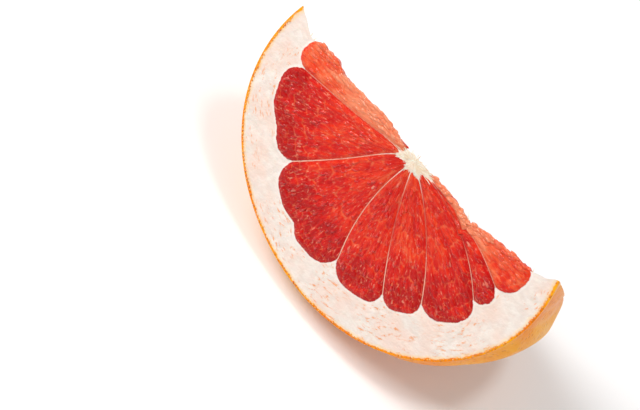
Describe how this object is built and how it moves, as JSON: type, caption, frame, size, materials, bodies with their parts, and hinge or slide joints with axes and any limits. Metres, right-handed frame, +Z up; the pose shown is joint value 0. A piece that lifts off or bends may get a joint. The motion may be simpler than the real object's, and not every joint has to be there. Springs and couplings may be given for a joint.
{
  "type": "grapefruit wedge",
  "caption": "Wedge of pink grapefruit with two cut faces that meet in a sharp, slightly hollow edge, resting on its rind.",
  "frame": {"origin": "middle of the small flat spot on the rind that the wedge stands on, at the level of the surface under it", "axes": "+X along the sharp edge between the two cut faces, +Y away from the side that the girth cut faces, +Z up, so the girth cut faces -Y and up"},
  "size_m": [0.1137, 0.0546, 0.0766],
  "materials": {
    "rind": "satin, finely pored peel",
    "pith": "matt, spongy",
    "flesh": "wet, translucent juice sacs"
  },
  "bodies": {
    "root": {"grapefruit_wedge": "rind"}
  },
  "joints": []
}
